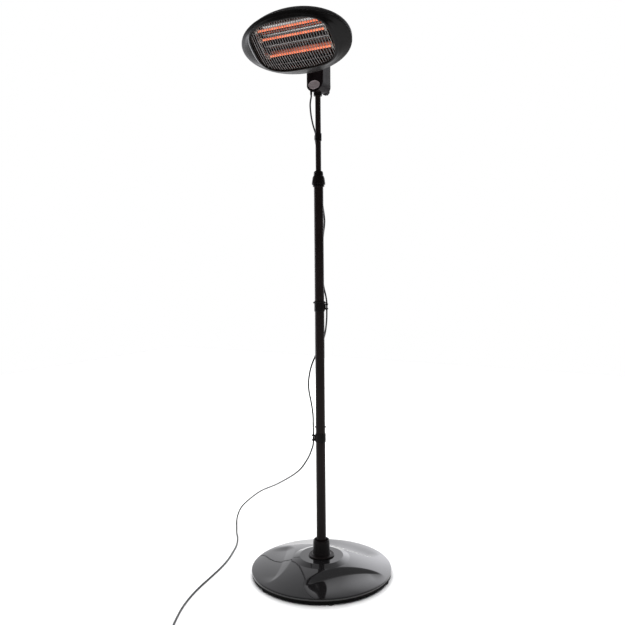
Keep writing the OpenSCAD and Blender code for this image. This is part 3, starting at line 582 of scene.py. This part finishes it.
def make_bezel():
    """The convex oval surround, its raised rim and the wall that turns in to the opening."""
    a, b, d = HEAD_A, HEAD_B, HEAD_DROP
    rows = [
        (a - 2, b - 2, 2, -1.9, d), (a, b, 2, -0.6, d), (a - 0.4, b - 0.4, 2, 2.2, d),
        (a - 4.5, b - 4, 2, 4.6, d), (a - 20, b - 10, 2.06, 10.4, d - 1),
        (171, 104.5, 2.5, 17, 2), (166, 102.5, 2.75, 18, 1.5), (158.5, 98.5, 3.05, 23.4, 0),
        (156, 96.4, 3.1, RIM_RISE, 0), (OPEN_A + 1.6, OPEN_B + 1.6, OPEN_E, RIM_RISE, 0),
        (OPEN_A, OPEN_B, OPEN_E, RIM_RISE - 1.6, 0), (OPEN_A, OPEN_B, OPEN_E, RIM_RISE - 9, 0),
        (OPEN_A + 2, OPEN_B + 2, OPEN_E, RIM_RISE - 9, 0), (OPEN_A + 5, OPEN_B + 4, OPEN_E, RIM_RISE - 4, 0),
        (a - 42, b - 21, 2.5, 15, 1.5), (a - 22, b - 13, 2.1, 8.2, d - 1), (a - 5, b - 5, 2, 0, d)]
    mesh = ovals("bezel_skin", rows, cut=2.2, angle=50, place=HEAD)
    cover(add_object("bezel_skin", mesh, "head", ["bezel"]), HEAD_BLACK)


def rounded_slot(x, y, half, r, z0, z1, count=8):
    """Rings of a long slot lying along X with round ends, for cutting through a wall."""
    turns = [pi * (k / count - 0.5) for k in range(count + 1)]
    outline = [(x + half + r * cos(a), y + r * sin(a)) for a in turns]
    outline += [(x - half - r * cos(a), y - r * sin(a)) for a in turns]
    return [[Vector((px, py, z)) * MM for px, py in outline] for z in (z0, z1)]


def cut_out(piece, cutter_mesh):
    """Cuts one mesh out of a piece for good."""
    cutter = bpy.data.objects.new(piece.name + "_cutter", cutter_mesh)
    bpy.context.scene.collection.objects.link(cutter)
    carve = piece.modifiers.new("carve", "BOOLEAN")
    carve.operation, carve.solver, carve.object = "DIFFERENCE", "EXACT", cutter
    bpy.context.view_layer.update()
    carved = bpy.data.meshes.new_from_object(piece.evaluated_get(bpy.context.evaluated_depsgraph_get()))
    piece.modifiers.clear()
    piece.data = carved
    bpy.data.objects.remove(cutter)


def slots_mesh(name, slots, place):
    """One mesh of all the slots' cutters."""
    points, faces = [], []
    for rings in slots:
        faces += loft_faces(len(rings[0]), 2, False, len(points))
        points += [place @ p for ring in rings for p in ring]
    return mesh_from(name, points, faces)


def make_shell():
    """The bowl behind the head, with a bank of cooling slots each side of the yoke."""
    thick = 2
    flat_a, flat_b = 128, 80
    rim_a, rim_b = HEAD_A - 3, HEAD_B - 3

    def wall(k, inset):
        """Row of the bowl's wall between its rim, k = 0, and its flat back, k = 1."""
        side, back = cos(pi / 2 * k), sin(pi / 2 * k)
        return (flat_a - inset + (rim_a - flat_a) * side, flat_b - inset + (rim_b - flat_b) * side, 2,
                -2 - (SHELL_DEPTH - 2 - inset) * back, HEAD_DROP)

    count = 20
    outside = [wall(k / count, 0) for k in range(count + 1)]
    inside = [wall(k / count, thick) for k in range(count + 1)]
    middle = [(60, 38, 2, -SHELL_DEPTH, HEAD_DROP), (6, 4, 2, -SHELL_DEPTH, HEAD_DROP),
              (6, 4, 2, thick - SHELL_DEPTH, HEAD_DROP), (60, 38, 2, thick - SHELL_DEPTH, HEAD_DROP)]
    rings = [oval(*row, count=160) for row in outside + middle + inside[::-1]]
    mesh = loft("shell_skin", rings, looped=True, angle=40, place=HEAD)
    shell = add_object("shell_skin", mesh, "head", ["head_shell"])
    slots = []
    bank_x, pitch = 82, 11
    for side in (-1, 1):
        for k in range(-3, 4):
            slots.append(rounded_slot(side * bank_x, pitch * k - HEAD_DROP, 26 - abs(k) * 2.5, 2,
                                      -SHELL_DEPTH - 4, -SHELL_DEPTH + 12))
    cut_out(shell, slots_mesh("slots", slots, HEAD))
    shade(shell.data, 40)
    cover(shell, SHELL_BLACK)


def make_tray():
    """The box behind the tubes, its near-black a painted shade for the unlit inside of the head, its lip
    folded out under the bezel.
    """
    t = 1.2
    a, b, lip = OPEN_A, OPEN_B, RIM_RISE - 14
    rows = [
        (60, 36, 3, TRAY_BACK), (a - 12, b - 13, 4, TRAY_BACK), (a - 5, b - 7, 4, TRAY_BACK + 6),
        (a + 5, b, 3.3, lip - 1), (a + 9, b + 3, 3, lip),
        (a + 9, b + 3, 3, lip + t), (a + 5 - t, b - t, 3.3, lip + t),
        (a - 5 - t, b - 7 - t, 4, TRAY_BACK + 6 + t), (a - 12 - t, b - 13 - t, 4, TRAY_BACK + t),
        (60, 36, 3, TRAY_BACK + t), (4, 3, 2, TRAY_BACK + t), (4, 3, 2, TRAY_BACK)]
    mesh = ovals("tray_skin", rows, cut=3, angle=50, place=HEAD)
    cover(add_object("tray_skin", mesh, "head", ["inner_tray"]), INSIDE_SHADE_BLACK)


REFLECTOR_LINE = [
    (83, 4), (80, -8), (74, -18), (64, -27), (50, -27), (40, -19), (29, -27), (16, -27), (2, -20), (-12, -13),
    (-28, -22), (-38, -27), (-50, -27), (-60, -20), (-66, -8)]
PAINTED_BRIGHT_FOLDS = [(-26, -18), (-9, -4), (24, 29), (52, 58)]     # bands across the sheet with a painted bright reflection
PAINTED_GLOW_FOLDS = [(-50, -35), (34, 43)]                            # bands with the tubes' red light painted on, with its own emission


def make_reflector():
    """Folded sheet with a valley behind each tube, its colour painted in bands along it: painted shade, a
    painted bright reflection, and the tubes' red glow painted on.
    Its ends follow the tray's round corners."""
    line = catmull([(y, z, 0) for y, z in REFLECTOR_LINE], 8)
    across, thick = 60, 0.8
    longest, corner_a, corner_b = 125, 134, 86
    rings = []
    for shift in (0, -thick):
        for p in line if shift == 0 else line[::-1]:
            half = min(longest, corner_a * max(0, 1 - (abs(p.x) / corner_b) ** 4) ** 0.25)
            rings.append([HEAD @ (Vector((half * (2 * i / across - 1), p.x, p.y + shift)) * MM)
                          for i in range(across + 1)])
    count = across + 1
    points = [p for ring in rings for p in ring]
    rows = len(rings)
    faces = []
    for k in range(rows):
        a, b = k * count, (k + 1) % rows * count
        faces += [(a + i, a + i + 1, b + i + 1, b + i) for i in range(across)]
    for k in range(rows // 2 - 1):
        low, high = k, k + 1
        back_low, back_high = rows - 1 - k, rows - 2 - k
        for i in (0, across):
            faces.append((low * count + i, high * count + i, back_high * count + i, back_low * count + i))
    mesh = mesh_from("reflector_sheet", points, faces, 50)
    inverse = HEAD.inverted()
    # faces in the listed bands get the painted reflection or the painted glow, the rest the painted shade
    for face in mesh.polygons:
        y = (inverse @ face.center).y / MM
        for number, folds in ((1, PAINTED_BRIGHT_FOLDS), (2, PAINTED_GLOW_FOLDS)):
            if any(low < y < high for low, high in folds):
                face.material_index = number
    sheet = add_object("reflector_sheet", mesh, "head", ["reflector"])
    cover(sheet, REFLECTOR_SHADE, PAINTED_REFLECTION, PAINTED_TUBE_GLOW)


def make_tubes():
    """Quartz tubes with a wound wire inside each."""
    tubes, coils = [], []
    turns, steps, wound_r, wire_r = 104, 7, 3.2, 0.75
    for y in TUBE_ROWS:
        tubes.append([HEAD @ (Vector((x, y, TUBE_DEPTH)) * MM) for x in (-TUBE_HALF, -60, 0, 60, TUBE_HALF)])
        coil = []
        for i in range(turns * steps + 1):
            x, turn = COIL_HALF * (2 * i / (turns * steps) - 1), 2 * pi * i / steps
            coil.append(HEAD @ (Vector((x, y + wound_r * cos(turn), TUBE_DEPTH + wound_r * sin(turn))) * MM))
        coils.append(coil)
    cover(add_object("quartz_skins", sweeps("quartz_skins", tubes, TUBE_R * MM, 32), "head",
                     ["quartz_tubes"]), QUARTZ)
    cover(add_object("wound_coils", sweeps("wound_coils", coils, wire_r * MM, 6), "head",
                     ["heating_coils"]), COIL)


def grille_half(x, a=OPEN_A - 1.5, b=OPEN_B - 1.5):
    """Half height of the grille at a place x along it."""
    return b * (1 - (abs(x) / a) ** OPEN_E) ** (1 / OPEN_E)


def bow(half, rise, count=16):
    """Points (along, up) of an arc over -half to half with its ends at 0 and its middle at rise."""
    bend = (half * half + rise * rise) / (2 * rise)
    return [(half * k / count, rise - bend + sqrt(bend * bend - (half * k / count) ** 2))
            for k in range(-count, count + 1)]


def make_grille():
    """Bowed upright wires over two cross bars and a rim wire."""
    count = floor((OPEN_A - 8) / WIRE_PITCH)
    paths = []
    for i in range(-count, count + 1):
        x = i * WIRE_PITCH
        crown = GRILLE_CROWN * (1 - (abs(x) / OPEN_A) ** OPEN_E)
        paths.append([HEAD @ (Vector((x, y, GRILLE_Z + z)) * MM) for y, z in bow(grille_half(x), crown)])
    cover(add_object("grille_rods", sweeps("grille_rods", paths, WIRE_R * MM, 10), "head",
                     ["grille_wires"]), WIRE_STEEL)
    half = (OPEN_A - 5.4) * (1 - (BAR_Y / (OPEN_B - 5)) ** OPEN_E) ** (1 / OPEN_E)
    ends = GRILLE_Z - 1.6
    middle = GRILLE_Z + GRILLE_CROWN * (1 - (BAR_Y / grille_half(0)) ** 2) - 2 * WIRE_R - 0.1
    bars = [[HEAD @ (Vector((x, y, ends + z)) * MM) for x, z in bow(half, middle - ends)]
            for y in (-BAR_Y, BAR_Y)]
    cover(add_object("grille_cross_rods", sweeps("grille_cross_rods", bars, WIRE_R * MM, 10), "head",
                     ["grille_bars"]), WIRE_STEEL)
    a, b, e, low, high = OPEN_A, OPEN_B, OPEN_E, RIM_RISE - 8.4, RIM_RISE - 6.2
    rim = [(a - 0.4, b - 0.4, e, low), (a - 0.4, b - 0.4, e, high),
           (a - 3.4, b - 3.4, e, high), (a - 4, b - 4, e, low)]
    mesh = ovals("grille_rim", rim, cut=0.5, place=HEAD)
    cover(add_object("grille_rim", mesh, "head", ["grille_frame"]), INSIDE_SHADE_BLACK)


# ------------------------------------------------------------------ housing
def make_badge():
    """Blank oval plate with a raised rim on the housing's front."""
    low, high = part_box("badge")
    middle = (low + high) / 2
    a, b = (high.x - low.x) / 2 / MM, (high.z - low.z) / 2 / MM
    deep = (high.y - low.y) / MM
    place = Matrix.Translation((middle.x, high.y, middle.z)) @ Matrix.Rotation(pi / 2, 4, "X")
    rows = [(a - 0.8, b - 0.8, 2, 0), (a, b, 2, 0.3), (a - 0.1, b - 0.1, 2, deep - 0.5),
            (a - 0.7, b - 0.7, 2, deep), (a - 2, b - 2, 2, deep), (a - 2.7, b - 2.7, 2, deep - 0.5),
            (a * 0.5, b * 0.5, 2, deep - 0.15), (1, 0.8, 2, deep - 0.05)]
    mesh = ovals("badge_plate", rows, looped=False, cut=0.4, angle=50, place=place)
    cover(add_object("badge_plate", mesh, "housing", ["badge"]), BADGE_SILVER)


make_base()
make_socket()
make_couplings()
make_clamp()
make_bezel()
make_shell()
make_tray()
make_reflector()
make_tubes()
make_grille()
make_badge()


# ------------------------------------------------------------------ CAD pieces that stay
KEPT = {
    POLE_BLACK: ["pole_lower", "pole_middle", "pole_upper", "mast_tube"],
    EDGE_BLACK: ["base_plate"],
    SATIN_BLACK: ["joint_screws", "cord_clip_lower", "cord_clip_upper", "mast_clip", "housing_socket",
                  "switch_knob", "lock_knob", "tip_switch", "switch_body", "tilt_yoke"],
    HOUSING_BLACK: ["housing_front", "housing_rear"],
    RUBBER: ["base_feet", "strain_relief", "tilt_washers", "housing_lead"],
    ZINC: ["base_spacer", "base_bolt", "base_nut", "base_spigot", "joint_spigots", "housing_screws",
           "lock_stem", "pivot_bolt", "pivot_nut", "pivot_spacer", "yoke_screws", "tube_brackets",
           "thermal_cutout"],
    IRON: ["base_weight"],
    NYLON: ["guide_bush", "mast_guide"],
    CERAMIC: ["terminal_block", "tube_caps"],
    BRASS: ["plug_pins"],
}
SOFT_EDGES = {
    "housing_front": 1.2, "housing_rear": 1.2, "switch_knob": 0.8, "lock_knob": 0.9, "tilt_yoke": 0.5,
    "cord_clip_lower": 0.5, "cord_clip_upper": 0.5, "mast_clip": 0.6, "housing_screws": 0.4, "pivot_bolt": 0.4,
    "pivot_nut": 0.4, "housing_socket": 0.6, "yoke_screws": 0.4, "base_feet": 0.5}


def keep_cad_pieces():
    """Materials for the CAD pieces that stay in the picture, and small rounds on their edges."""
    for made, names in KEPT.items():
        for name in names:
            piece = cover(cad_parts[name], made)
            if name in SOFT_EDGES:
                edge = piece.modifiers.new("soft_edge", "BEVEL")
                edge.width = SOFT_EDGES[name] * MM
                edge.segments = 3
                edge.limit_method = "ANGLE"
                edge.angle_limit = radians(35)


keep_cad_pieces()


# ------------------------------------------------------------------ floor and light
def make_floor():
    """A pale square under the object."""
    half = 5
    corners = [(-half, -half, 0), (half, -half, 0), (half, half, 0), (-half, half, 0)]
    mesh = bpy.data.meshes.new("floor")
    mesh.from_pydata(corners, [], [(0, 1, 2, 3)])
    floor_plane = bpy.data.objects.new("floor", mesh)
    bpy.context.scene.collection.objects.link(floor_plane)
    cover(floor_plane, finish_material("pale_floor", (0.86, 0.86, 0.86), (0.9, 0.9, 0.9), (0.85, 0.95),
                                       specular=0.1, patch=1.5, grain=300, bump=0.02))


def add_lamp(name, kind, energy, place=(0, 0, 0)):
    """A lamp that glossy surfaces don't mirror."""
    lamp = bpy.data.lights.new(name, kind)
    lamp.energy = energy
    light = bpy.data.objects.new(name, lamp)
    light.location = place
    light.visible_glossy = False
    bpy.context.scene.collection.objects.link(light)
    return lamp


def view_direction(right, up):
    """Unit vector that is the given angles right of and above the camera's forward line."""
    return Vector((cos(right) * -sin(VIEW_TURN) + sin(right) * cos(VIEW_TURN),
                   cos(right) * cos(VIEW_TURN) + sin(right) * sin(VIEW_TURN), sin(up) / cos(up))).normalized()


def make_light():
    """Soft light from above, more of it behind, and a surround bright behind the object and dim in front."""
    add_lamp("overhead", "SUN", 2.5).angle = radians(70)
    behind = add_lamp("behind", "AREA", 110, (-2.0, 2.4, 2.6))
    behind.shape, behind.size = "DISK", 3

    world = bpy.data.worlds.new("surround")
    bpy.context.scene.world = world
    world.use_nodes = True
    tree = world.node_tree
    sky = tree.nodes["Background"]
    place = tree.nodes.new("ShaderNodeTexCoord")

    def facing(direction, low):
        """0 to 1 as a ray turns from the given cosine to straight along the direction."""
        along = tree.nodes.new("ShaderNodeVectorMath")
        along.operation = "DOT_PRODUCT"
        along.inputs[1].default_value = direction
        share = tree.nodes.new("ShaderNodeMapRange")
        share.inputs["From Min"].default_value = low
        wire(tree, place.outputs["Generated"], along.inputs[0])
        wire(tree, along.outputs["Value"], share.inputs["Value"])
        return share.outputs["Result"]

    # rows of (place, shade), from behind the camera at 0 to behind the object at 1
    grey = [(0.0, 0.06), (0.4, 0.1), (0.52, 0.2), (0.72, 0.3), (0.8, 0.55), (0.88, 0.95), (1.0, 1.2)]
    shades = ramp(tree, facing(view_direction(0, 0), -1), [(at, (v, v, v * 1.03)) for at, v in grey])

    def window(under, direction, width, light):
        """Adds a soft bright patch in a direction to the shades under it."""
        stops = [(0.0, (0, 0, 0)), (0.5, (light, light, light * 1.05))]
        patch = ramp(tree, facing(direction, cos(width)), stops)
        both = tree.nodes.new("ShaderNodeVectorMath")
        wire(tree, under, both.inputs[0])
        wire(tree, patch, both.inputs[1])
        return both.outputs["Vector"]

    right_lobe = view_direction(radians(34), radians(16))
    left_lobe = view_direction(radians(-48), radians(-10))
    shades = window(shades, right_lobe, radians(34), 1)
    shades = window(shades, right_lobe, radians(26), 0.9)
    for _ in range(3):
        shades = window(shades, left_lobe, radians(32), 1)
    # seen straight from the camera the surround is plain white
    white = tree.nodes.new("ShaderNodeMix")
    white.data_type = "RGBA"
    white.inputs["B"].default_value = (1, 1, 1, 1)
    rays = tree.nodes.new("ShaderNodeLightPath")
    wire(tree, rays.outputs["Is Camera Ray"], white.inputs["Factor"])
    wire(tree, shades, white.inputs["A"])
    wire(tree, white.outputs["Result"], sky.inputs["Color"])
    sky.inputs["Strength"].default_value = 1.0


make_floor()
make_light()
bpy.context.scene.view_settings.view_transform = "Standard"
